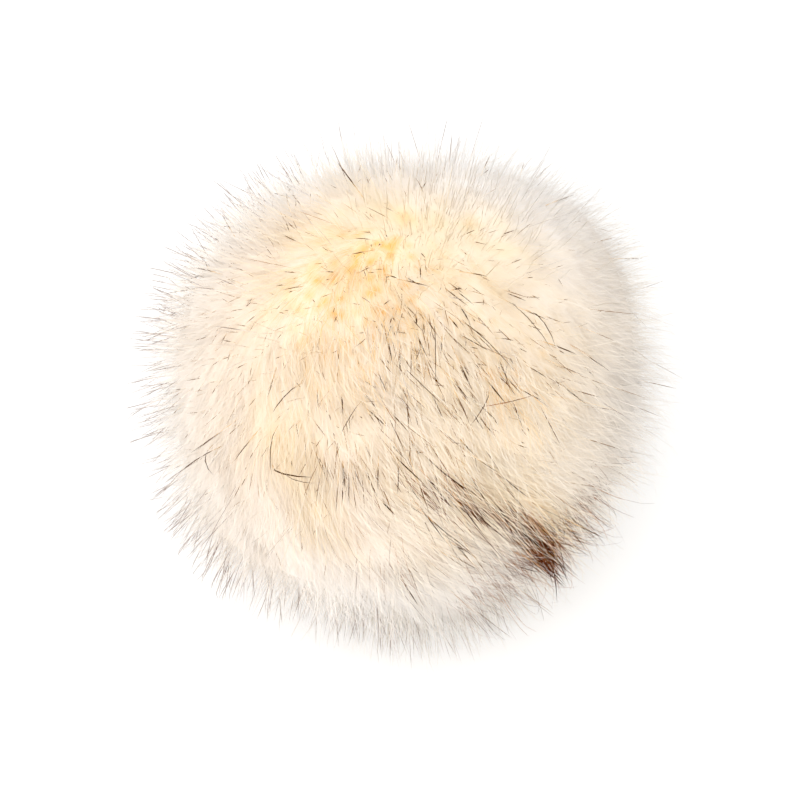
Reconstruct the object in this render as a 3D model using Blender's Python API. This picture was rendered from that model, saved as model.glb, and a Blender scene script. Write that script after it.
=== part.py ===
"""A long-pile fur pom pom, about 120 mm across, standing on a small flat spot.

It is one solid: a lumpy ball of dense fur with combed three-sided locks, which are fused into
it at their roots. Metres, +Z up. The origin is the middle of the flat spot, on the floor.

The fur parts at the crown, on top. A lock there stands nearly upright, and further down the
side it leans over more, away from the crown. The locks at the floor are short, and splay
outwards until they lie level on it.
"""

import math
import random

import bmesh
import bpy
from mathutils import Vector

# Driving dimensions, in metres.
FUR_RADIUS = 0.0585  # from the ball's middle to the tip of a lock
BALL_RADIUS = 0.0460  # from the ball's middle to the valleys between the locks
BALL_HEIGHT = 0.0510  # from the floor to the ball's middle: the fur under it is pressed flat
FLAT_RADIUS = 0.0160  # the flat spot that it stands on
FLOOR_SPLAY = 0.0130  # how far outwards the floor pushes the tip of the lowest lock
FLOOR_REACH = 0.0160  # tips lower than this are pushed outwards
FLOOR_PRESS = 0.0040  # how far below the floor the lowest tip would be without it

# How the locks are spread and combed.
ROOT_POINTS = 143  # corners of the ball above the flat spot; a lock stands on each face
FLAT_CORNERS = 8
LOWEST_ROOT = -0.90  # height of the lowest of those corners, on a ball of radius 1
ROOT_JITTER = 0.045  # on a ball of radius 1
GOLDEN_TURN = math.pi * (3 - math.sqrt(5))
CROWN_TILT = 9.0  # degrees from straight up, towards -X
LEAN = 15.0  # degrees that a tip is carried along the ball where the fur leans most
STEEPEST = 85.0  # degrees from the crown where it leans most
UPRIGHT_AGAIN = 160.0  # degrees from the crown where it stands upright again
BRUSHED = Vector((0.35, -0.25, 0.0))  # the whole coat is brushed a little this way
LENGTH_SPREAD = 0.2  # random share of the length that a lock has outside the ball
RISE_BEFORE_BEND = 0.75  # share of its rise that a lock makes before it bends over
SEED = 10

# A lock's rings: the share of its path, and the share of its root's width.
LOCK_RINGS = (
    {"along": 0.34, "width": 0.62},
    {"along": 0.68, "width": 0.34},
)

# Lobes and dips of the fur, seen from the ball's middle. Azimuth runs from +X towards +Y and
# elevation from the horizon up; rise is a share of the radius, and spread is in degrees.
LOBES = (
    {"name": "back right shoulder", "azimuth": 37, "elevation": 17, "rise": 0.070, "spread": 24},
    {"name": "back dip", "azimuth": 92, "elevation": 27, "rise": -0.060, "spread": 20},
    {"name": "back left dip", "azimuth": 121, "elevation": 23, "rise": -0.040, "spread": 12},
    {"name": "left side", "azimuth": 172, "elevation": 4, "rise": 0.015, "spread": 24},
    {"name": "front left corner", "azimuth": 214, "elevation": -16, "rise": 0.055, "spread": 18},
    {"name": "front left notch", "azimuth": 238, "elevation": -23, "rise": -0.065, "spread": 9},
    {"name": "front left lobe", "azimuth": 246, "elevation": 16, "rise": 0.030, "spread": 22},
    {"name": "front lobe", "azimuth": 278, "elevation": -27, "rise": 0.040, "spread": 20},
    {"name": "right dip", "azimuth": 333, "elevation": -13, "rise": -0.025, "spread": 14},
    {"name": "top lobe", "azimuth": 170, "elevation": 80, "rise": 0.020, "spread": 28},
)

FUR_COLOUR = (0.86, 0.76, 0.62, 1.0)
FUR_ROUGHNESS = 0.9

MIDDLE = Vector((0.0, 0.0, BALL_HEIGHT))
CROWN = Vector((-math.sin(math.radians(CROWN_TILT)), 0.0, math.cos(math.radians(CROWN_TILT))))


def clear_scene():
    for obj in list(bpy.data.objects):
        bpy.data.objects.remove(obj)


def smooth_step(value, low, high):
    """0 at low, 1 at high, with a soft start and end."""
    share = min(1.0, max(0.0, (value - low) / (high - low)))
    return share * share * (3 - 2 * share)


def towards(azimuth, elevation):
    """The unit vector at this azimuth and elevation, in degrees."""
    turn, up = math.radians(azimuth), math.radians(elevation)
    return Vector((math.cos(up) * math.cos(turn), math.cos(up) * math.sin(turn), math.sin(up)))


def swell(direction):
    """How much further the fur reaches in this direction than on a plain ball, as a factor."""
    factor = 1.0
    for lobe in LOBES:
        off = math.degrees(direction.angle(towards(lobe["azimuth"], lobe["elevation"])))
        factor += lobe["rise"] * math.exp(-((off / lobe["spread"]) ** 2))
    return factor


def root_directions(rng):
    """Directions from the middle to the ball's corners: an uneven spiral from top to bottom."""
    directions = []
    for index in range(ROOT_POINTS):
        height = 1 - (index + 0.5) * (1 - LOWEST_ROOT) / ROOT_POINTS
        width = math.sqrt(1 - height * height)
        turn = index * GOLDEN_TURN
        point = Vector((width * math.cos(turn), width * math.sin(turn), height))
        for axis in range(3):
            point[axis] += rng.uniform(-ROOT_JITTER, ROOT_JITTER)
        directions.append(point.normalized())
    return directions


def flat_corners():
    """The corners of the flat spot, on the floor."""
    corners = []
    for index in range(FLAT_CORNERS):
        turn = 2 * math.pi * index / FLAT_CORNERS
        corners.append(Vector((FLAT_RADIUS * math.cos(turn), FLAT_RADIUS * math.sin(turn), 0.0)))
    return corners


def dense_ball(bm, rng):
    """The ball of dense fur. Returns its faces above the flat spot: each is the root of a lock."""
    places = {}
    for direction in root_directions(rng):
        vert = bm.verts.new(direction)
        places[vert] = MIDDLE + direction * BALL_RADIUS * swell(direction)
    flat = []
    for corner in flat_corners():
        vert = bm.verts.new((corner - MIDDLE).normalized())
        places[vert] = corner
        flat.append(vert)
    bmesh.ops.convex_hull(bm, input=list(bm.verts))
    for vert, place in places.items():
        vert.co = place
    under = [face for face in bm.faces if all(vert in flat for vert in face.verts)]
    bmesh.ops.dissolve_faces(bm, faces=under)
    bmesh.ops.recalc_face_normals(bm, faces=list(bm.faces))
    return [face for face in bm.faces if len(face.verts) == 3]


def comb_direction(direction):
    """Along the ball's surface: away from the crown, and a little the way that it is brushed."""
    away = direction * direction.dot(CROWN) - CROWN
    along = away.normalized() + BRUSHED if away.length > 1e-6 else BRUSHED.copy()
    along -= direction * along.dot(direction)
    return along.normalized()


def lean_angle(direction):
    """How far a tip is carried along the ball, in radians."""
    from_crown = math.degrees(direction.angle(CROWN))
    rising = smooth_step(from_crown, 0, STEEPEST)
    falling = smooth_step(from_crown, STEEPEST, UPRIGHT_AGAIN)
    return math.radians(LEAN) * rising * (1 - falling)


def tip_place(direction, length_share):
    """Where the lock that is rooted in this direction ends."""
    lean = lean_angle(direction)
    leaning = direction * math.cos(lean) + comb_direction(direction) * math.sin(lean)
    reach = BALL_RADIUS + (FUR_RADIUS - BALL_RADIUS) * length_share
    tip = MIDDLE + leaning * reach * swell(leaning)
    outwards = Vector((direction.x, direction.y, 0.0)).normalized()
    tip += outwards * FLOOR_SPLAY * (1 - smooth_step(tip.z, -FLOOR_PRESS, FLOOR_REACH))
    tip.z = max(tip.z, 0.0)
    return tip


def curve_point(start, bend, end, share):
    """A point on the curve that leaves start towards bend and comes to end."""
    return start.lerp(bend, share).lerp(bend.lerp(end, share), share)


def lift_to_floor(verts):
    """Raises a ring until none of its corners is below the floor."""
    lowest = min(vert.co.z for vert in verts)
    for vert in verts:
        vert.co.z -= min(lowest, 0.0)


def grow_lock(bm, face, rng):
    """Extrudes one face into a lock that bends over and ends in a point."""
    root = face.calc_center_median()
    direction = (root - MIDDLE).normalized()
    tip = tip_place(direction, 1 + rng.uniform(-LENGTH_SPREAD, LENGTH_SPREAD))
    bend = root + direction * (tip - root).dot(direction) * RISE_BEFORE_BEND
    bend.z = max(bend.z, 0.0)
    centre, heading, width = root, face.normal.copy(), 1.0
    for ring in LOCK_RINGS:
        face = bmesh.ops.extrude_discrete_faces(bm, faces=[face])["faces"][0]
        next_centre = curve_point(root, bend, tip, ring["along"])
        next_heading = (next_centre - centre).normalized()
        turn = heading.rotation_difference(next_heading)
        for vert in face.verts:
            vert.co = next_centre + turn @ ((vert.co - centre) * ring["width"] / width)
        lift_to_floor(face.verts)
        centre, heading, width = face.calc_center_median(), next_heading, ring["width"]
    point = bmesh.ops.poke(bm, faces=[face])["verts"][0]
    point.co = tip


def fur_material():
    material = bpy.data.materials.new("cream_fur")
    material.use_nodes = True
    shader = material.node_tree.nodes["Principled BSDF"]
    shader.inputs["Base Color"].default_value = FUR_COLOUR
    shader.inputs["Roughness"].default_value = FUR_ROUGHNESS
    shader.inputs["Metallic"].default_value = 0.0
    return material


def build_pom_pom():
    rng = random.Random(SEED)
    bm = bmesh.new()
    for face in dense_ball(bm, rng):
        grow_lock(bm, face, rng)
    bmesh.ops.recalc_face_normals(bm, faces=list(bm.faces))
    mesh = bpy.data.meshes.new("pom_pom")
    bm.to_mesh(mesh)
    bm.free()
    mesh.materials.append(fur_material())
    obj = bpy.data.objects.new("pom_pom", mesh)
    bpy.context.scene.collection.objects.link(obj)
    return obj


def main():
    clear_scene()
    build_pom_pom()


main()
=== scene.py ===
"""The looks of the long-pile fur pom pom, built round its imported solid.

A lumpy ball of dense underfur carries about a hundred thousand fine strands in five joined
meshes, and under three thousand single hairs in five more. Each strand leaves the ball along its
radius and bends over the way the fur is combed: away from the crown, and towards the right.
Strands that meet the floor splay outwards on it. Metres, +Z up, in the solid's frame.
"""

import math

import bpy
import numpy as np
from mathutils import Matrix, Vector


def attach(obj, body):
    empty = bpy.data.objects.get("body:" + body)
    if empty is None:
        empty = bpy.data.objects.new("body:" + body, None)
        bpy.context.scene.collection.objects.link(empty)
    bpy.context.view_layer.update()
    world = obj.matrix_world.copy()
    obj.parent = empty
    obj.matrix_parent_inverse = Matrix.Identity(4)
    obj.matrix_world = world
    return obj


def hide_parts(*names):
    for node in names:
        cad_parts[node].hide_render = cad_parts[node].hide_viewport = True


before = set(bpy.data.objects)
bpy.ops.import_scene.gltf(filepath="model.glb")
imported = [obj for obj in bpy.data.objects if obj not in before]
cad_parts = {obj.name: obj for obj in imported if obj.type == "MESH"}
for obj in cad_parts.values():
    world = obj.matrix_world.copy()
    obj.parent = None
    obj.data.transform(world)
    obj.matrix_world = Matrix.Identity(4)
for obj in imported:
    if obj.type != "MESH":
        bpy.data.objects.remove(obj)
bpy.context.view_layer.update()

# The ball, as in the solid: its radius to the tips of the fur, its middle's height, and how the
# floor pushes outwards the strands that come near it.
FUR_RADIUS = 0.0585
BALL_HEIGHT = 0.0510
FLOOR_SPLAY = 0.0130
FLOOR_REACH = 0.0160
FLOOR_PRESS = 0.0040
FLOOR_CLEARANCE = 0.0002
MIDDLE = np.array([0.0, 0.0, BALL_HEIGHT])

# Places on the ball are seen from its middle: azimuth from +X towards +Y, elevation from the
# horizon up, and the spread of a zone, all in degrees.

# How the fur lies: away from the crown, which is at the back right, and brushed towards +X. A tip
# is carried up to LEAN degrees along the ball: none at the crown, all at COMBED degrees from it,
# and less again round the sides, where the fur stands out.
CROWN = {"azimuth": 60, "elevation": 64}
BRUSHED = np.array([0.80, 0.30, 0.0])
STROKES = (
    {"name": "front", "azimuth": 286, "elevation": 12, "spread": 28, "along": (0.9, 0.0, 0.0)},
    {"name": "front right", "azimuth": 318, "elevation": 2, "spread": 16, "along": (-0.5, -0.2, 0.0)},
    {"name": "back left", "azimuth": 128, "elevation": 48, "spread": 26, "along": (-0.5, 0.5, 0.0)},
    {"name": "crown's right", "azimuth": 320, "elevation": 67, "spread": 14, "along": (-0.5, -0.7, 0.0)},
    {"name": "middle", "azimuth": 292, "elevation": 60, "spread": 14, "along": (-0.15, -0.1, 0.0)},
)
LEAN = 15.0
COMBED = 45.0
LIFTING = 75.0
STANDING = 150.0
STANDING_LEAN = 0.25
BEND_POWER = 1.3
RISE_POWER = 1.8
RUFFLED = 0.18

# The solid's lobes and dips. A rise is a share of the radius.
LOBES = (
    {"name": "back right shoulder", "azimuth": 37, "elevation": 17, "rise": 0.070, "spread": 24},
    {"name": "back dip", "azimuth": 92, "elevation": 27, "rise": -0.060, "spread": 20},
    {"name": "back left dip", "azimuth": 121, "elevation": 23, "rise": -0.040, "spread": 12},
    {"name": "left side", "azimuth": 172, "elevation": 4, "rise": 0.015, "spread": 24},
    {"name": "front left corner", "azimuth": 214, "elevation": -16, "rise": 0.055, "spread": 18},
    {"name": "front left notch", "azimuth": 238, "elevation": -23, "rise": -0.065, "spread": 9},
    {"name": "front left lobe", "azimuth": 246, "elevation": 16, "rise": 0.030, "spread": 22},
    {"name": "front lobe", "azimuth": 278, "elevation": -27, "rise": 0.040, "spread": 20},
    {"name": "right dip", "azimuth": 333, "elevation": -13, "rise": -0.025, "spread": 14},
    {"name": "top lobe", "azimuth": 170, "elevation": 80, "rise": 0.020, "spread": 28},
)
# Where the combed fur stands a little lower or higher than those lobes.
NAP = (
    {"name": "front right", "azimuth": 312, "elevation": -8, "rise": -0.045, "spread": 24},
    {"name": "front left", "azimuth": 254, "elevation": -20, "rise": -0.055, "spread": 20},
    {"name": "back right", "azimuth": 40, "elevation": 20, "rise": 0.015, "spread": 13},
)

# The underfur.
CORE_RADIUS = 0.0523
CORE_LUMP = 0.0003
CORE_LUMP_SIZE = 0.0060
CORE_SPLAY = 0.4
CORE_DIVISIONS = 6

# Three growths of flat strands, from root to tip by radius from the ball's middle. The coat lies
# smooth and close over the underfur, the fluff stands out of it, and the wisps reach furthest.
STRAND_ALONG = (0.0, 0.35, 0.65, 0.88, 1.0)
STRAND_TAPER = (1.0, 1.0, 0.85, 0.55, 0.0)
STRAND_WIDTHS = (0.7, 1.3)
STRAND_WOBBLE = 0.12
COAT = {
    "pieces": 3,
    "strands": 24000,
    "root": 0.0500,
    "tip": 0.0535,
    "tip_spread": 0.0010,
    "width": 0.000065,
    "lean": 1.0,
    "lean_spread": 1.5,
    "turn_spread": 0.14,
}
FLUFF = {
    "pieces": 1,
    "strands": 21000,
    "root": 0.0500,
    "tip": 0.0568,
    "tip_spread": 0.0030,
    "width": 0.000075,
    "lean": 0.8,
    "lean_spread": 3.0,
    "turn_spread": 0.35,
}
WISPS = {
    "pieces": 1,
    "strands": 11000,
    "root": 0.0500,
    "tip": 0.0602,
    "tip_spread": 0.0026,
    "width": 0.00006,
    "lean": 0.7,
    "lean_spread": 5.0,
    "turn_spread": 0.50,
}
CLUMPS = 6000
CLUMP_PULL = 0.15
CLUMP_SPREAD = 0.6
SOFT_NORMALS = 0.9
MOST_REACH = 0.0660
LEAST_REACH = 0.0518

# Growths of round hairs, pale at the root and darker towards the tip. The guard hairs are long
# and nearly straight, the flecks are the short dark ends of hairs that lie in the coat, the
# stray hairs stand out pale at the rim, and the tuft's hairs run together to one place.
# Steepness is in degrees from the ball's surface. How far along a hair its colour is taken to be
# is raised to a power: over 1 the dark starts later, and under 1 sooner.
HAIR_ALONG = (0.0, 0.3, 0.55, 0.8, 1.0)
HAIR_TAPER = (0.5, 0.8, 1.0, 0.85, 0.0)
HAIR_WOBBLE = 0.6
FINEST_HAIR = 0.6
COARSE_GAIN = 1.2
DARKEN_POWERS = (0.8, 3.0)
PALE_POWER = 1.2
GUARD = {
    "hairs": 500,
    "root": 0.0500,
    "length": 0.0112,
    "length_spread": 0.0034,
    "steepness": 37.0,
    "steepness_spread": 12.0,
    "width": 0.00019,
    "turn_spread": 0.26,
    "curl": 0.05,
    "base": 0.010,
    "roots": (236, 200, 146),
    "tips": ((66, 34, 0), (124, 78, 8), (178, 130, 68)),
}
FLECKS = {
    "hairs": 700,
    "root": 0.0525,
    "length": 0.0038,
    "length_spread": 0.0012,
    "steepness": 44.0,
    "steepness_spread": 20.0,
    "width": 0.00013,
    "turn_spread": 1.00,
    "curl": 0.06,
    "base": 0.01,
    "roots": (246, 228, 200),
    "tips": ((100, 66, 20), (140, 96, 44), (184, 144, 98)),
}
STRAY = {
    "hairs": 1050,
    "root": 0.0500,
    "length": 0.0155,
    "length_spread": 0.0020,
    "steepness": 60.0,
    "steepness_spread": 14.0,
    "width": 0.00011,
    "turn_spread": 0.36,
    "curl": 0.05,
    "base": 0.012,
    "roots": (248, 240, 232),
    "tips": ((142, 122, 112), (184, 170, 166), (218, 210, 210)),
}
TUFT = {
    "hairs": 410,
    "root": 0.0505,
    "length": 0.0140,
    "length_spread": 0.0030,
    "steepness": 24.0,
    "steepness_spread": 7.0,
    "width": 0.00017,
    "turn_spread": 0.14,
    "curl": 0.10,
    "base": 0.0,
    "roots": (226, 180, 128),
    "tips": ((50, 20, 8), (108, 54, 28), (170, 106, 70)),
    "ends": {"azimuth": 304, "elevation": 3},
}
# Single long hairs that lie across the others, from one place on the ball to another, each as
# (azimuth, elevation). Tone 0 is their darkest colour and 1 their palest.
LONG = {
    "root": 0.0545,
    "tip": 0.0605,
    "width": 0.00019,
    "roots": (236, 200, 146),
    "tips": ((60, 32, 0), (104, 62, 8), (158, 96, 44)),
}
LONG_TONE = 0.12
LONG_DARKEN_POWER = 0.6
LONG_WIDTHS = (0.8, 1.2)
LONG_HAIRS = (
    {"name": "left, bold", "start": (231, 35), "end": (245, 41), "thickness": 1.8},
    {"name": "left, below it", "start": (235, 36), "end": (246, 40)},
    {"name": "left, upright", "start": (227, 44), "end": (235, 37)},
    {"name": "left rim", "start": (215, 28), "end": (212, 18)},
    {"name": "left rim, crossing", "start": (212, 25), "end": (221, 27)},
    {"name": "upper left", "start": (226, 55), "end": (227, 48)},
    {"name": "front, leaning left", "start": (251, 58), "end": (249, 51)},
    {"name": "right", "start": (343, 69), "end": (329, 55)},
    {"name": "right, short", "start": (344, 62), "end": (331, 55)},
    {"name": "middle", "start": (310, 74), "end": (313, 57)},
    {"name": "middle, upright", "start": (293, 76), "end": (281, 62)},
    {"name": "middle, low", "start": (266, 67), "end": (283, 58)},
    {"name": "crossing to the left", "start": (304, 57), "end": (290, 53)},
    {"name": "crossing to the right", "start": (296, 55), "end": (314, 52), "tone": 0.95},
    {"name": "front, short", "start": (258, 60), "end": (268, 54), "tone": 0.80},
)

# Colour zones of the pile. Tone 0 is the deep yellow of the crown, 0.25 warm cream and 0.5 pale
# cream. Tone 1 is painted light, nearly white, on the side of the ball that the light comes from
# and at the back, and painted shade, grey-beige, elsewhere. The zones of tone 1 or near it lie at
# the rims and the back. So the left edge and the back are painted lit, and the right and front
# edges carry painted shade.
BASE_TONE = 0.56
PATCH_DEPTH = 0.06
TONE_SPREAD = 0.035
# Where the pile is painted lit: the side that the light comes from, and a patch at the back.
PAINTED_LIGHT_SIDE = {"azimuth": 185, "elevation": 3}
PAINTED_LIGHT_FROM = (0.05, 0.45)
PAINTED_LIGHT_PATCH = {"name": "back", "azimuth": 78, "elevation": 42, "spread": 38, "share": 0.95}
TONE_ZONES = (
    {"name": "warm top and left", "azimuth": 215, "elevation": 66, "spread": 40, "tone": 0.42},
    {"name": "middle", "azimuth": 265, "elevation": 68, "spread": 14, "tone": 0.55},
    {"name": "right streaks", "azimuth": 325, "elevation": 60, "spread": 16, "tone": 0.42},
    {"name": "back right", "azimuth": 48, "elevation": 36, "spread": 34, "tone": 1.00},
    {"name": "back left", "azimuth": 138, "elevation": 38, "spread": 26, "tone": 0.88},
    {"name": "back", "azimuth": 92, "elevation": 40, "spread": 28, "tone": 1.00},
    {"name": "crown", "azimuth": 95, "elevation": 80, "spread": 15, "tone": 0.30},
    {"name": "top left", "azimuth": 170, "elevation": 74, "spread": 20, "tone": 0.25},
    {"name": "right edge", "azimuth": 348, "elevation": 12, "spread": 28, "tone": 1.00},
    {"name": "front edge", "azimuth": 280, "elevation": -6, "spread": 32, "tone": 1.00},
    {"name": "under the band", "azimuth": 272, "elevation": 30, "spread": 13, "tone": 0.55},
    {"name": "front left lobe", "azimuth": 235, "elevation": 10, "spread": 22, "tone": 0.72},
    {"name": "front left", "azimuth": 228, "elevation": 42, "spread": 12, "tone": 0.28},
    {"name": "left edge", "azimuth": 182, "elevation": 0, "spread": 32, "tone": 0.95},
    {"name": "band", "azimuth": 287, "elevation": 38, "spread": 10, "tone": 0.25},
    {"name": "parting", "azimuth": 244, "elevation": 29, "spread": 5, "tone": 0.15},
    {"name": "front of the crown", "azimuth": 264, "elevation": 73, "spread": 7, "tone": 0.54},
    {"name": "right of the crown", "azimuth": 28, "elevation": 69, "spread": 12, "tone": 0.34},
    {"name": "front", "azimuth": 257, "elevation": 46, "spread": 8, "tone": 0.38},
    {"name": "above the tuft", "azimuth": 303, "elevation": 24, "spread": 6, "tone": 0.10},
    {"name": "lower left edge", "azimuth": 258, "elevation": -2, "spread": 12, "tone": 1.00},
)
# Small patches where the fur is parted and its deep yellow shows.
MOTTLE_FROM = (0.3, 1.2)
MOTTLE_ZONES = (
    {"name": "crown", "azimuth": 214, "elevation": 79, "spread": 15, "depth": 0.50},
    {"name": "right streaks", "azimuth": 322, "elevation": 56, "spread": 18, "depth": 0.36},
    {"name": "front", "azimuth": 235, "elevation": 64, "spread": 16, "depth": 0.12},
)
# Where a share of the strands has the dark colours of the tuft. The tuft and the band are dark
# hair. In the fringes round the tuft, left of it and under the band, the dark strands are partly
# painted shade.
DARK_ZONES = (
    {"name": "tuft", "azimuth": 302, "elevation": 12, "spread": 6, "share": 1.0},
    {"name": "tuft side", "azimuth": 311, "elevation": 7, "spread": 7, "share": 0.8},
    {"name": "tuft fringe", "azimuth": 298, "elevation": 8, "spread": 11, "share": 0.36},
    {"name": "band", "azimuth": 299, "elevation": 25, "spread": 6, "share": 0.14},
    {"name": "left of the tuft", "azimuth": 293, "elevation": 15, "spread": 6.5, "share": 0.38},
    {"name": "right fringe", "azimuth": 318, "elevation": 12, "spread": 8, "share": 0.42},
    {"name": "under the band", "azimuth": 270, "elevation": 24, "spread": 11, "share": 0.15},
    {"name": "left fringe", "azimuth": 290, "elevation": -2, "spread": 10, "share": 0.30},
)

# Where the hairs of each growth stand closer together.
GUARD_ZONES = (
    {"name": "front of the crown", "azimuth": 303, "elevation": 75, "spread": 13, "add": 1.8},
    {"name": "crown", "azimuth": 190, "elevation": 84, "spread": 14, "add": 0.3},
    {"name": "front", "azimuth": 268, "elevation": 58, "spread": 13, "add": 0.9},
    {"name": "band start", "azimuth": 250, "elevation": 46, "spread": 8, "add": 1.7},
    {"name": "band middle", "azimuth": 280, "elevation": 46, "spread": 8, "add": 0.6},
    {"name": "tuft", "azimuth": 303, "elevation": 16, "spread": 8, "add": 1.2},
    {"name": "under the band", "azimuth": 276, "elevation": 22, "spread": 10, "add": 0.5},
    {"name": "right", "azimuth": 325, "elevation": 50, "spread": 12, "add": 0.3},
    {"name": "left", "azimuth": 215, "elevation": 40, "spread": 8, "add": 0.4},
    {"name": "left rim", "azimuth": 158, "elevation": 22, "spread": 9, "add": 0.5},
)
FLECK_ZONES = (
    {"name": "top and left", "azimuth": 195, "elevation": 62, "spread": 38, "add": 1.0},
    {"name": "front of the crown", "azimuth": 315, "elevation": 66, "spread": 22, "add": 0.7},
)
TUFT_ZONES = (
    {"name": "start", "azimuth": 266, "elevation": 45, "spread": 5, "add": 0.6},
    {"name": "middle", "azimuth": 279, "elevation": 42, "spread": 4, "add": 0.8},
    {"name": "end", "azimuth": 292, "elevation": 35, "spread": 4, "add": 0.9},
    {"name": "heart", "azimuth": 300, "elevation": 25, "spread": 3.5, "add": 2.0},
    {"name": "tip", "azimuth": 302, "elevation": 17, "spread": 5, "add": 2.6},
    {"name": "left of the tuft", "azimuth": 293, "elevation": 14, "spread": 5, "add": 0.2},
)
STRAY_ZONES = (
    {"name": "back left rim", "azimuth": 140, "elevation": 20, "spread": 20, "add": 1.0},
    {"name": "left rim", "azimuth": 172, "elevation": 8, "spread": 18, "add": 1.0},
    {"name": "front left rim", "azimuth": 212, "elevation": -8, "spread": 18, "add": 0.7},
    {"name": "front rim", "azimuth": 262, "elevation": -20, "spread": 22, "add": 0.3},
)

# Random draws, and the sizes of the bumps of the noises that vary the comb and the colours.
SEED = 31
DRIFT_SIZE = 0.0110
PATCH_SIZE = 0.0040
MOTTLE_SIZE = 0.0016

# The strands' map runs along each strand and by its tone, and TONE_WIDTH gives a strand a width
# there. The underfur has its colours at its points.
STRAND_MAP = "OFBake"
FUR_COLOUR = "fur_colour"
TONE_WIDTH = 0.006
TONE_MARGIN = 0.01

# The stage.
CAMERA_ELEVATION = 63.0
CAMERA_LENS = 85.0
CAMERA_DISTANCE = 0.440
PICTURE_SIDE = 800
BALL_MIDDLE_PIXEL = (407, 386)
SKY_STRENGTH = 1.08
KEY_LIGHT = {"name": "key", "place": (-0.26, -0.46, 0.84), "size": 1.0, "power": 5.6}
FILL_LIGHT = {"name": "fill", "place": (0.12, 0.64, 0.48), "size": 0.8, "power": 0.6}


def unit(vectors):
    """Each vector at length 1."""
    return vectors / np.maximum(np.linalg.norm(vectors, axis=-1, keepdims=True), 1e-12)


def dots(first, second):
    """The dot product of each pair, kept as a column."""
    return (first * second).sum(-1, keepdims=True)


def smooth_step(values, low, high):
    """0 at low, 1 at high, with a soft start and end."""
    share = np.clip((values - low) / (high - low), 0.0, 1.0)
    return share * share * (3 - 2 * share)


def heading_of(azimuth, elevation):
    """The unit vector from the ball's middle at these angles, in degrees."""
    turn, up = math.radians(azimuth), math.radians(elevation)
    return np.array([math.cos(up) * math.cos(turn), math.cos(up) * math.sin(turn), math.sin(up)])


def heading(zone):
    """The unit vector from the ball's middle towards a zone."""
    return heading_of(zone["azimuth"], zone["elevation"])


def degrees_from(directions, zone):
    """The angle of each direction from a zone's middle, in degrees."""
    return np.degrees(np.arccos(np.clip(directions @ heading(zone), -1.0, 1.0)))[:, None]


def zone_share(directions, zone):
    """1 in the middle of a zone, falling off with the angle from it."""
    return np.exp(-((degrees_from(directions, zone) / zone["spread"]) ** 2))


def swell(directions):
    """How much further the fur reaches in each direction than on a plain ball, as a factor."""
    factor = np.ones((len(directions), 1))
    for lobe in LOBES + NAP:
        factor += lobe["rise"] * zone_share(directions, lobe)
    return factor


class SoftNoise:
    """Smooth noise through space, about -1 to 1, with bumps of about one size."""

    WAVES = 20

    def __init__(self, rng, size):
        headings = unit(rng.normal(size=(self.WAVES, 3)))
        self.waves = headings * rng.uniform(0.7, 1.3, (self.WAVES, 1)) * math.pi / size
        self.phases = rng.uniform(0, 2 * math.pi, self.WAVES)

    def at(self, points):
        waves = np.sin(points @ self.waves.T + self.phases)
        return waves.sum(1, keepdims=True) * math.sqrt(2 / self.WAVES)


def even_directions(count):
    """Directions spread evenly over the whole ball, along a spiral."""
    index = np.arange(count)
    height = 1 - (index + 0.5) * 2 / count
    width = np.sqrt(1 - height * height)
    turn = index * math.pi * (3 - math.sqrt(5))
    return np.stack([width * np.cos(turn), width * np.sin(turn), height], 1)


def comb_direction(directions):
    """Along the ball's surface: away from the crown, and the way that it is brushed."""
    crown = heading(CROWN)
    along = unit(directions * dots(directions, crown) - crown) + BRUSHED
    for stroke in STROKES:
        along = along + zone_share(directions, stroke) * np.array(stroke["along"])
    return unit(along - directions * dots(along, directions))


def towards_place(directions, place):
    """Along the ball's surface towards a place on it."""
    target = heading(place)
    return unit(target - directions * (directions @ target)[:, None])


def lean_angle(directions):
    """How far a tip is carried along the ball, in radians."""
    from_crown = degrees_from(directions, CROWN)
    rising = smooth_step(from_crown, 0, COMBED)
    falling = smooth_step(from_crown, LIFTING, STANDING) * (1 - STANDING_LEAN)
    return math.radians(LEAN) * rising * (1 - falling)


def pushed_by_floor(points, directions, along):
    """Strands that come near the floor are pushed outwards, most at their tips, and end on it."""
    outwards = unit(directions * (1, 1, 0))
    share = 1 - smooth_step(points[:, 2:], -FLOOR_PRESS, FLOOR_REACH)
    points = points + outwards * FLOOR_SPLAY * share * along
    points[:, 2] = np.maximum(points[:, 2], FLOOR_CLEARANCE)
    return points


def strand_points(directions, tip_directions, root, tip, along):
    """Points along strands that leave the ball steeply and bend over to lie along it.

    root and tip are radii from the ball's middle, before its lobes swell them.
    """
    angle = np.arccos(np.clip(dots(directions, tip_directions), -1.0, 1.0))
    comb = unit(tip_directions - directions * dots(directions, tip_directions))
    rows = []
    for share in along:
        turn = angle * share**BEND_POWER
        heading_there = directions * np.cos(turn) + comb * np.sin(turn)
        radius = root + (tip - root) * (1 - (1 - share) ** RISE_POWER)
        point = MIDDLE + heading_there * radius * swell(heading_there)
        rows.append(pushed_by_floor(point, directions, share))
    return np.stack(rows, 1)


def side_vectors(points, rng, wobble):
    """A unit vector across each strand at each point, along the ball's surface give or take."""
    tangents = np.gradient(points, axis=1)
    outwards = unit(points - MIDDLE)
    turned = outwards + rng.normal(size=(len(points), 1, 3)) * wobble
    sides = unit(np.cross(unit(tangents), turned))
    flip = np.sign(dots(np.cross(sides, tangents), outwards))
    flip[flip == 0] = 1
    return sides * flip


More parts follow.
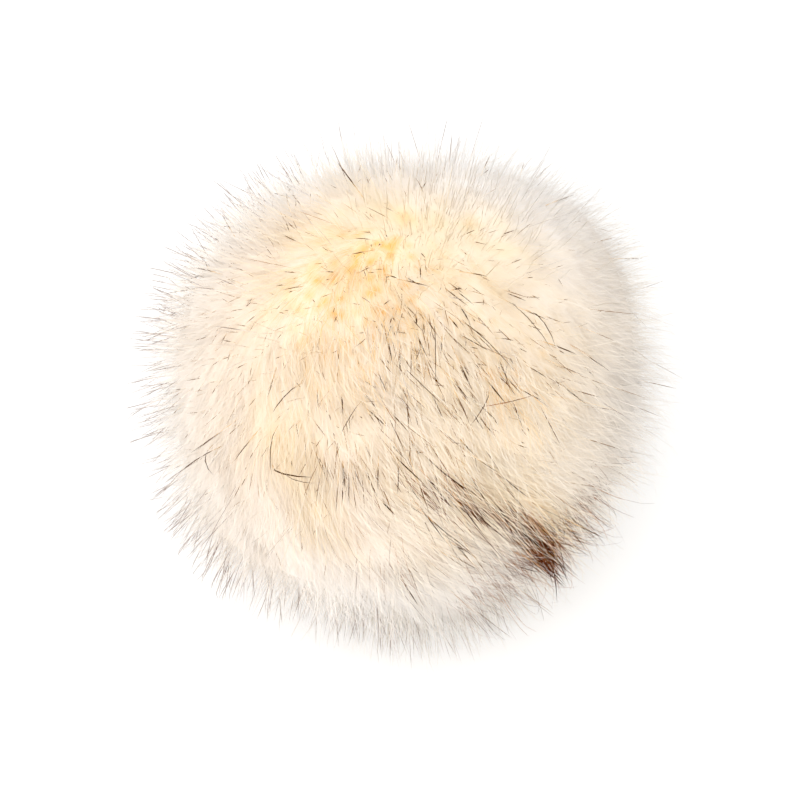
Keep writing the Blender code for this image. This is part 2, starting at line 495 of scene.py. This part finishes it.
def fill_mesh(name, verts, faces, sizes, corner_uv, normals=None):
    """A mesh from arrays: faces holds all faces' corners in a row, and sizes how many each has."""
    mesh = bpy.data.meshes.new(name)
    mesh.vertices.add(len(verts))
    mesh.vertices.foreach_set("co", verts.astype(np.float32).ravel())
    mesh.loops.add(len(faces))
    mesh.loops.foreach_set("vertex_index", faces.astype(np.int32))
    mesh.polygons.add(len(sizes))
    starts = np.concatenate([[0], np.cumsum(sizes)[:-1]])
    mesh.polygons.foreach_set("loop_start", starts.astype(np.int32))
    mesh.polygons.foreach_set("use_smooth", np.ones(len(sizes), bool))
    mesh.update(calc_edges=True)
    layer = mesh.uv_layers.new(name=STRAND_MAP)
    layer.uv.foreach_set("vector", corner_uv.astype(np.float32).ravel())
    if normals is not None:
        mesh.normals_split_custom_set_from_vertices(normals.reshape(-1, 3))
    return mesh


def ribbon_mesh(name, points, sides, widths, along, tones):
    """Flat strands: two edges that run together at the tip."""
    count, steps = points.shape[:2]
    half = sides[:, :-1] * widths[:, :-1, None] / 2
    left = points[:, :-1] - half
    right = points[:, :-1] + half
    edges = np.stack([left, right], 2).reshape(count, -1, 3)
    verts = np.concatenate([edges, points[:, -1:]], 1)
    per_strand = verts.shape[1]
    corners, sizes, uv_along, uv_side = [], [], [], []
    for step in range(steps - 2):
        low = 2 * step
        corners += [low, low + 1, low + 3, low + 2]
        sizes.append(4)
        uv_along += [along[step], along[step], along[step + 1], along[step + 1]]
        uv_side += [-1, 1, 1, -1]
    low = 2 * (steps - 2)
    corners += [low, low + 1, low + 2]
    sizes.append(3)
    uv_along += [along[-2], along[-2], along[-1]]
    uv_side += [-1, 1, 0]
    starts = np.arange(count)[:, None] * per_strand
    faces = (starts + np.array(corners)).ravel()
    corner_v = tones + np.array(uv_side) * TONE_WIDTH / 2
    corner_u = np.broadcast_to(np.array(uv_along), corner_v.shape)
    corner_uv = np.stack([corner_u, corner_v], 2).reshape(-1, 2)
    own = unit(np.cross(sides, np.gradient(points, axis=1)))
    soft = unit(unit(points - MIDDLE) * SOFT_NORMALS + own * (1 - SOFT_NORMALS))
    normals = np.concatenate([np.repeat(soft[:, :-1], 2, axis=1), soft[:, -1:]], 1)
    return fill_mesh(name, verts.reshape(-1, 3), faces, np.tile(sizes, count), corner_uv, normals)


def tube_mesh(name, points, sides, widths, along, tones):
    """Round strands of three sides, closed at the root and pointed at the tip."""
    count, steps = points.shape[:2]
    tangents = unit(np.gradient(points, axis=1))
    across = unit(np.cross(tangents, sides))
    rings = []
    for corner in range(3):
        turn = 2 * math.pi * corner / 3
        spoke = sides * math.cos(turn) + across * math.sin(turn)
        rings.append(points[:, :-1] + spoke[:, :-1] * widths[:, :-1, None] / 2)
    rings = np.stack(rings, 2).reshape(count, -1, 3)
    verts = np.concatenate([rings, points[:, -1:]], 1)
    corners, sizes, uv_step, uv_side = [2, 1, 0], [3], [0, 0, 1], [-1, 1, 0]
    for step in range(steps - 1):
        low = 3 * step
        for corner in range(3):
            after = (corner + 1) % 3
            if step < steps - 2:
                corners += [low + corner, low + after, low + 3 + after, low + 3 + corner]
                uv_step += [step, step, step + 1, step + 1]
                uv_side += [-1, 1, 1, -1]
                sizes.append(4)
            else:
                corners += [low + corner, low + after, low + 3]
                uv_step += [step, step, step + 1]
                uv_side += [-1, 1, 0]
                sizes.append(3)
    starts = np.arange(count)[:, None] * verts.shape[1]
    faces = (starts + np.array(corners)).ravel()
    corner_u = along[:, uv_step]
    corner_v = tones + np.array(uv_side) * TONE_WIDTH / 2
    corner_uv = np.stack([corner_u, corner_v], 2).reshape(-1, 2)
    return fill_mesh(name, verts.reshape(-1, 3), faces, np.tile(sizes, count), corner_uv)


def add_piece(name, mesh, material):
    """Puts a mesh in the scene as a piece that rides on the root."""
    mesh.materials.append(material)
    obj = bpy.data.objects.new(name, mesh)
    bpy.context.scene.collection.objects.link(obj)
    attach(obj, "root")
    return obj


# ------------------------------------------------------------------ materials


def srgb(red, green, blue):
    """A colour given as 0 to 255 in sRGB, as linear numbers with alpha."""
    linear = []
    for value in (red, green, blue):
        value /= 255
        linear.append(value / 12.92 if value <= 0.04045 else ((value + 0.055) / 1.055) ** 2.4)
    return (*linear, 1.0)


def colour_ramp(nodes, stops):
    """A colour ramp node with these (place, colour) stops."""
    ramp = nodes.new("ShaderNodeValToRGB")
    while len(ramp.color_ramp.elements) < len(stops):
        ramp.color_ramp.elements.new(0.5)
    for element, (place, colour) in zip(ramp.color_ramp.elements, stops):
        element.position = place
        element.color = colour
    return ramp


def strand_material(name, root_stops, tip_stops, fade, roughness, specular):
    """A strand's colour from its map: root and tip colours by tone, mixed along the strand."""
    material = bpy.data.materials.new(name)
    material.use_nodes = True
    nodes, links = material.node_tree.nodes, material.node_tree.links
    shader = nodes["Principled BSDF"]
    shader.inputs["Roughness"].default_value = roughness
    shader.inputs["Specular IOR Level"].default_value = specular
    strand_map = nodes.new("ShaderNodeUVMap")
    strand_map.uv_map = STRAND_MAP
    parts = nodes.new("ShaderNodeSeparateXYZ")
    links.new(strand_map.outputs["UV"], parts.inputs["Vector"])
    root_colour = colour_ramp(nodes, root_stops)
    tip_colour = colour_ramp(nodes, tip_stops)
    links.new(parts.outputs["Y"], root_colour.inputs["Fac"])
    links.new(parts.outputs["Y"], tip_colour.inputs["Fac"])
    share = nodes.new("ShaderNodeMapRange")
    share.interpolation_type = "SMOOTHSTEP"
    share.inputs["From Min"].default_value = fade[0]
    share.inputs["From Max"].default_value = fade[1]
    links.new(parts.outputs["X"], share.inputs["Value"])
    mix = nodes.new("ShaderNodeMix")
    mix.data_type = "RGBA"
    links.new(share.outputs["Result"], mix.inputs["Factor"])
    links.new(root_colour.outputs["Color"], mix.inputs["A"])
    links.new(tip_colour.outputs["Color"], mix.inputs["B"])
    links.new(mix.outputs["Result"], shader.inputs["Base Color"])
    return material


# The pile's colours by tone, root and tip. Strands of the plain side take 0 to 0.38 of the map
# and those of the painted-lit side 0.80 down to 0.42. The grey-beige at 0.38 is painted shade,
# and the near white at 0.42 is painted light. The dark tuft's lie above both.
TONE_SPAN = 0.38
PAINTED_LIGHT_RAMP_START = 0.80
DARK_RANGE = (0.84, 0.99)
PILE_FADE = (0.30, 0.85)
HAIR_FADE = (0.22, 0.45)
HAIR_ROOT_PALE = (248, 236, 220)
PILE_ROOTS = (
    (0.000, srgb(238, 192, 118)),
    (0.095, srgb(238, 220, 188)),
    (0.190, srgb(243, 230, 210)),
    # Grey-beige here is painted shade, and the near white that follows is painted light.
    (0.380, srgb(231, 224, 217)),
    (0.420, srgb(247, 242, 237)),
    (0.610, srgb(238, 224, 207)),
    (0.705, srgb(237, 220, 189)),
    (0.800, srgb(238, 192, 118)),
    (0.840, srgb(206, 150, 98)),
    (0.900, srgb(148, 92, 52)),
    (1.000, srgb(84, 46, 30)),
)
PILE_TIPS = (
    (0.000, srgb(240, 198, 130)),
    (0.095, srgb(240, 223, 194)),
    (0.190, srgb(245, 233, 216)),
    # Grey-beige here is painted shade, and the near white that follows is painted light.
    (0.380, srgb(235, 230, 224)),
    (0.420, srgb(250, 246, 242)),
    (0.610, srgb(240, 227, 212)),
    (0.705, srgb(239, 222, 195)),
    (0.800, srgb(240, 198, 130)),
    (0.840, srgb(168, 108, 60)),
    (0.900, srgb(104, 56, 30)),
    (1.000, srgb(44, 20, 12)),
)


def ramp_colours(stops, values):
    """The colours of a ramp at these values, as the colour ramp node mixes them."""
    places = [place for place, _ in stops]
    channels = [np.interp(values, places, [colour[i] for _, colour in stops]) for i in range(3)]
    return np.stack(channels + [np.ones_like(channels[0])], -1)


def pile_material():
    """The strands of the coat, the fluff and the wisps."""
    return strand_material("pile_fur", PILE_ROOTS, PILE_TIPS, PILE_FADE, roughness=0.75, specular=0.10)


def hair_material(name, growth):
    """Pale at the root, and darker from part of the way up."""
    root_stops = (
        (0.0, srgb(*growth["roots"])),
        (1.0, srgb(*HAIR_ROOT_PALE)),
    )
    darkest, usual, palest = growth["tips"]
    tip_stops = (
        (0.0, srgb(*darkest)),
        (0.5, srgb(*usual)),
        (1.0, srgb(*palest)),
    )
    return strand_material(name, root_stops, tip_stops, HAIR_FADE, roughness=0.60, specular=0.0)


def core_material():
    """The dense underfur that shows between the strands, in the pile's colours, painted light and shade
    included.
    """
    material = bpy.data.materials.new("underfur")
    material.use_nodes = True
    nodes, links = material.node_tree.nodes, material.node_tree.links
    shader = nodes["Principled BSDF"]
    shader.inputs["Roughness"].default_value = 0.9
    shader.inputs["Specular IOR Level"].default_value = 0.1
    fur_colour = nodes.new("ShaderNodeVertexColor")
    fur_colour.layer_name = FUR_COLOUR
    links.new(fur_colour.outputs["Color"], shader.inputs["Base Color"])
    return material


# ------------------------------------------------------------------ the fur


def zone_tones(directions, noises):
    """Where the pile's colour is on its ramp at each place, 0 to 1."""
    tone = np.full((len(directions), 1), BASE_TONE)
    for zone in TONE_ZONES:
        share = zone_share(directions, zone)
        tone = tone * (1 - share) + zone["tone"] * share
    tone = tone + PATCH_DEPTH * noises["patches"].at(directions * FUR_RADIUS)
    parted = smooth_step(noises["mottle"].at(directions * FUR_RADIUS), *MOTTLE_FROM)
    for zone in MOTTLE_ZONES:
        tone = tone - zone["depth"] * parted * zone_share(directions, zone)
    return tone


def painted_light_share(directions):
    """1 where the pile is painted lit, on the side that the light comes from and at the back, 0
    elsewhere.
    """
    side = smooth_step((directions @ heading(PAINTED_LIGHT_SIDE))[:, None], *PAINTED_LIGHT_FROM)
    return np.maximum(side, PAINTED_LIGHT_PATCH["share"] * zone_share(directions, PAINTED_LIGHT_PATCH))


def strand_tones(directions, rng, noises):
    """Where each strand is on the pile's colour ramps, give or take."""
    count = (len(directions), 1)
    tone = zone_tones(directions, noises) + rng.normal(size=count) * TONE_SPREAD
    tone = np.clip(tone, 0.0, 1.0)
    # Strands on the painted-light ramp end nearly white at tone 1. The others end grey-beige there,
    # which is painted shade.
    painted_light = rng.uniform(size=count) < painted_light_share(directions)
    tone = np.where(painted_light, PAINTED_LIGHT_RAMP_START - TONE_SPAN * tone, TONE_SPAN * tone)
    light = np.ones(count)
    for zone in DARK_ZONES:
        light = light * (1 - zone["share"] * zone_share(directions, zone))
    dark = rng.uniform(size=count) > light
    return np.where(dark, rng.uniform(*DARK_RANGE, count), tone)


def ruffled_comb(directions, growth, drift, rng):
    """The comb's direction at each root, turned a little by tufts and a little by chance."""
    comb = comb_direction(directions)
    across = np.cross(directions, comb)
    turn = RUFFLED * drift.at(directions * FUR_RADIUS)
    turn = turn + rng.normal(size=turn.shape) * growth["turn_spread"]
    return unit(comb + across * turn)


def combed_tips(directions, growth, drift, rng):
    """Where strands from these directions have their tips, as directions and reach."""
    count = (len(directions), 1)
    comb = ruffled_comb(directions, growth, drift, rng)
    lean = lean_angle(directions) * growth["lean"]
    lean = lean + rng.normal(size=count) * math.radians(growth["lean_spread"])
    tip_directions = unit(directions * np.cos(lean) + comb * np.sin(lean))
    reach = growth["tip"] + growth["tip_spread"] * rng.normal(size=count)
    return tip_directions, np.clip(reach, LEAST_REACH, MOST_REACH)


def make_pile(name, growth, material, noises, rng):
    """Flat strands of one growth, drawn together a little into clumps."""
    clumps = even_directions(CLUMPS)
    cell = math.sqrt(4 / CLUMPS)
    for number in range(1, growth["pieces"] + 1):
        clump = clumps[rng.integers(0, CLUMPS, growth["strands"])]
        directions = unit(clump + rng.normal(size=clump.shape) * cell * CLUMP_SPREAD)
        tip_directions, reach = combed_tips(directions, growth, noises["drift"], rng)
        tip_directions = unit(tip_directions + (clump - directions) * CLUMP_PULL)
        points = strand_points(directions, tip_directions, growth["root"], reach, STRAND_ALONG)
        sides = side_vectors(points, rng, STRAND_WOBBLE)
        thickness = rng.uniform(*STRAND_WIDTHS, (len(points), 1))
        widths = growth["width"] * thickness * np.array(STRAND_TAPER)
        tones = strand_tones(directions, rng, noises)
        piece_name = f"{name}_{number}"
        mesh = ribbon_mesh(piece_name, points, sides, widths, STRAND_ALONG, tones)
        piece = add_piece(piece_name, mesh, material)
        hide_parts("pom_pom")


def hair_directions(growth, zones, rng):
    """Roots of a growth's hairs: close together round each zone's middle, and a few anywhere."""
    count = growth["hairs"]
    middles = np.array([heading(zone) for zone in zones])
    spreads = np.radians([zone["spread"] for zone in zones])
    amounts = np.array([zone["add"] for zone in zones]) * spreads**2
    amounts = np.append(amounts, 4 * growth["base"])
    chosen = rng.choice(len(amounts), count, p=amounts / amounts.sum())
    anywhere = chosen == len(zones)
    chosen[anywhere] = 0
    offsets = rng.normal(size=(count, 3))
    near = middles[chosen] + offsets * spreads[chosen, None] / math.sqrt(2)
    return unit(np.where(anywhere[:, None], offsets, near))


def hair_points(directions, growth, noises, rng):
    """Points along nearly straight hairs that stand up out of the coat."""
    count = (len(directions), 1)
    comb = ruffled_comb(directions, growth, noises["drift"], rng)
    if "ends" in growth:
        comb = unit(towards_place(directions, growth["ends"]) + comb * growth["turn_spread"])
    across = np.cross(directions, comb)
    steep = np.radians(growth["steepness"] + growth["steepness_spread"] * rng.normal(size=count))
    towards = comb * np.cos(steep) + directions * np.sin(steep)
    length = growth["length"] + growth["length_spread"] * rng.normal(size=count)
    curl = comb * 0.5 + across * rng.normal(size=count) - directions * 0.5
    roots = MIDDLE + directions * growth["root"] * swell(directions)
    rows = []
    for share in HAIR_ALONG:
        point = roots + (towards + curl * growth["curl"] * share) * length * share
        reach = np.linalg.norm(point - MIDDLE, axis=1, keepdims=True)
        point = MIDDLE + (point - MIDDLE) * np.minimum(1.0, MOST_REACH / reach)
        rows.append(pushed_by_floor(point, directions, share))
    return np.stack(rows, 1)


def add_hairs(name, growth, points, sides, thickness, along, tones):
    """Puts round hairs in the scene as a piece."""
    widths = growth["width"] * thickness * np.array(HAIR_TAPER)
    mesh = tube_mesh(name, points, sides, widths, along, tones)
    hairs = add_piece(name, mesh, hair_material(name, growth))
    # They are drawn thicker than real hairs, and their shadows would grey the pile.
    hairs.visible_shadow = False


def make_hairs(name, growth, zones, noises, rng):
    """Round hairs of one growth. The coarse ones are the thickest and the darkest."""
    directions = hair_directions(growth, zones, rng)
    points = hair_points(directions, growth, noises, rng)
    count = (len(points), 1)
    sides = side_vectors(points, rng, HAIR_WOBBLE)
    coarse = rng.uniform(size=count)
    thickness = FINEST_HAIR + COARSE_GAIN * coarse**2
    along = np.array(HAIR_ALONG) ** rng.uniform(*DARKEN_POWERS, count)
    tones = TONE_MARGIN + (1 - 2 * TONE_MARGIN) * (1 - coarse) ** PALE_POWER
    add_hairs(name, growth, points, sides, thickness, along, tones)


def make_long_hairs(name, growth, hairs, rng):
    """Single hairs that rise out of the coat and lie along it, each towards a place of its own."""
    starts = np.array([heading_of(*hair["start"]) for hair in hairs])
    ends = np.array([heading_of(*hair["end"]) for hair in hairs])
    points = strand_points(starts, ends, growth["root"], growth["tip"], HAIR_ALONG)
    count = (len(hairs), 1)
    sides = side_vectors(points, rng, HAIR_WOBBLE)
    thickness = np.array([[hair.get("thickness", 1.0)] for hair in hairs])
    thickness = thickness * rng.uniform(*LONG_WIDTHS, count)
    along = np.array(HAIR_ALONG) ** LONG_DARKEN_POWER * np.ones(count)
    tones = np.array([[hair.get("tone", LONG_TONE)] for hair in hairs])
    add_hairs(name, growth, points, sides, thickness, along, tones)


def make_core(material, noises, rng):
    """The dense underfur, a lumpy ball flattened where it stands."""
    bpy.ops.mesh.primitive_ico_sphere_add(subdivisions=CORE_DIVISIONS, radius=1.0)
    obj = bpy.context.active_object
    mesh = obj.data
    flat = np.empty(len(mesh.vertices) * 3)
    mesh.vertices.foreach_get("co", flat)
    directions = unit(flat.reshape(-1, 3))
    lumps = SoftNoise(rng, CORE_LUMP_SIZE)
    radius = CORE_RADIUS * swell(directions) + CORE_LUMP * lumps.at(directions * CORE_RADIUS)
    points = pushed_by_floor(MIDDLE + directions * radius, directions, CORE_SPLAY)
    mesh.vertices.foreach_set("co", points.astype(np.float32).ravel())
    # Like the pile: painted light on the lit side and at the back, and grey-beige painted shade at the
    # other rims.
    tones = np.clip(zone_tones(directions, noises), 0.0, 1.0)[:, 0] * TONE_SPAN
    painted_light = painted_light_share(directions)
    plain_colours = ramp_colours(PILE_ROOTS, tones)
    painted_light_colours = ramp_colours(PILE_ROOTS, PAINTED_LIGHT_RAMP_START - tones)
    colours = plain_colours * (1 - painted_light) + painted_light_colours * painted_light
    layer = mesh.color_attributes.new(FUR_COLOUR, "FLOAT_COLOR", "POINT")
    layer.data.foreach_set("color", colours.ravel())
    mesh.shade_smooth()
    mesh.update()
    mesh.materials.append(material)
    obj.name = "underfur"
    mesh.name = "underfur"
    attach(obj, "root")
    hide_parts("pom_pom")


# ------------------------------------------------------------------ the stage


def make_floor():
    """The plain pale floor that the ball stands on."""
    bpy.ops.mesh.primitive_plane_add(size=4.0)
    floor = bpy.context.active_object
    floor.name = "floor"
    material = bpy.data.materials.new("pale_floor")
    material.use_nodes = True
    shader = material.node_tree.nodes["Principled BSDF"]
    shader.inputs["Base Color"].default_value = (0.90, 0.90, 0.90, 1.0)
    shader.inputs["Roughness"].default_value = 0.9
    shader.inputs["Specular IOR Level"].default_value = 0.0
    floor.data.materials.append(material)


def make_world():
    """Even white light from all sides."""
    world = bpy.data.worlds.new("studio")
    world.use_nodes = True
    sky = world.node_tree.nodes["Background"]
    sky.inputs["Color"].default_value = (1.0, 1.0, 1.0, 1.0)
    sky.inputs["Strength"].default_value = SKY_STRENGTH
    bpy.context.scene.world = world


def make_light(settings):
    """A soft square light that faces the ball."""
    data = bpy.data.lights.new(settings["name"], "AREA")
    data.size = settings["size"]
    data.energy = settings["power"]
    light = bpy.data.objects.new(settings["name"], data)
    light.location = settings["place"]
    towards = Vector(MIDDLE) - light.location
    light.rotation_euler = towards.to_track_quat("-Z", "Y").to_euler()
    bpy.context.scene.collection.objects.link(light)


def make_camera():
    """The photo's view: from the front and well above, with the ball's middle at its pixel."""
    data = bpy.data.cameras.new("camera")
    data.lens = CAMERA_LENS
    data.clip_start = 0.01
    camera = bpy.data.objects.new("camera", data)
    up = math.radians(CAMERA_ELEVATION)
    back = Vector((0.0, -math.cos(up), math.sin(up)))
    screen_up = Vector((0.0, math.sin(up), math.cos(up)))
    pixel = CAMERA_DISTANCE * data.sensor_width / data.lens / PICTURE_SIDE
    right_by = (BALL_MIDDLE_PIXEL[0] - PICTURE_SIDE / 2) * pixel
    down_by = (BALL_MIDDLE_PIXEL[1] - PICTURE_SIDE / 2) * pixel
    aim = Vector(MIDDLE) - Vector((1.0, 0.0, 0.0)) * right_by + screen_up * down_by
    camera.location = aim + back * CAMERA_DISTANCE
    camera.rotation_euler = (-back).to_track_quat("-Z", "Y").to_euler()
    bpy.context.scene.collection.objects.link(camera)
    bpy.context.scene.camera = camera


def main():
    """Builds the fur and the stage."""
    rng = np.random.default_rng(SEED)
    make_camera()
    noises = {
        "drift": SoftNoise(rng, DRIFT_SIZE),
        "patches": SoftNoise(rng, PATCH_SIZE),
        "mottle": SoftNoise(rng, MOTTLE_SIZE),
    }
    make_core(core_material(), noises, rng)
    pile = pile_material()
    make_pile("coat", COAT, pile, noises, rng)
    make_pile("fluff", FLUFF, pile, noises, rng)
    make_pile("wisps", WISPS, pile, noises, rng)
    make_hairs("guard_hairs", GUARD, GUARD_ZONES, noises, rng)
    make_hairs("flecks", FLECKS, FLECK_ZONES, noises, rng)
    make_hairs("stray_hairs", STRAY, STRAY_ZONES, noises, rng)
    make_hairs("tuft_hairs", TUFT, TUFT_ZONES, noises, rng)
    make_long_hairs("long_hairs", LONG, LONG_HAIRS, rng)
    make_floor()
    make_world()
    make_light(KEY_LIGHT)
    make_light(FILL_LIGHT)
    bpy.context.scene.view_settings.view_transform = "Standard"


main()
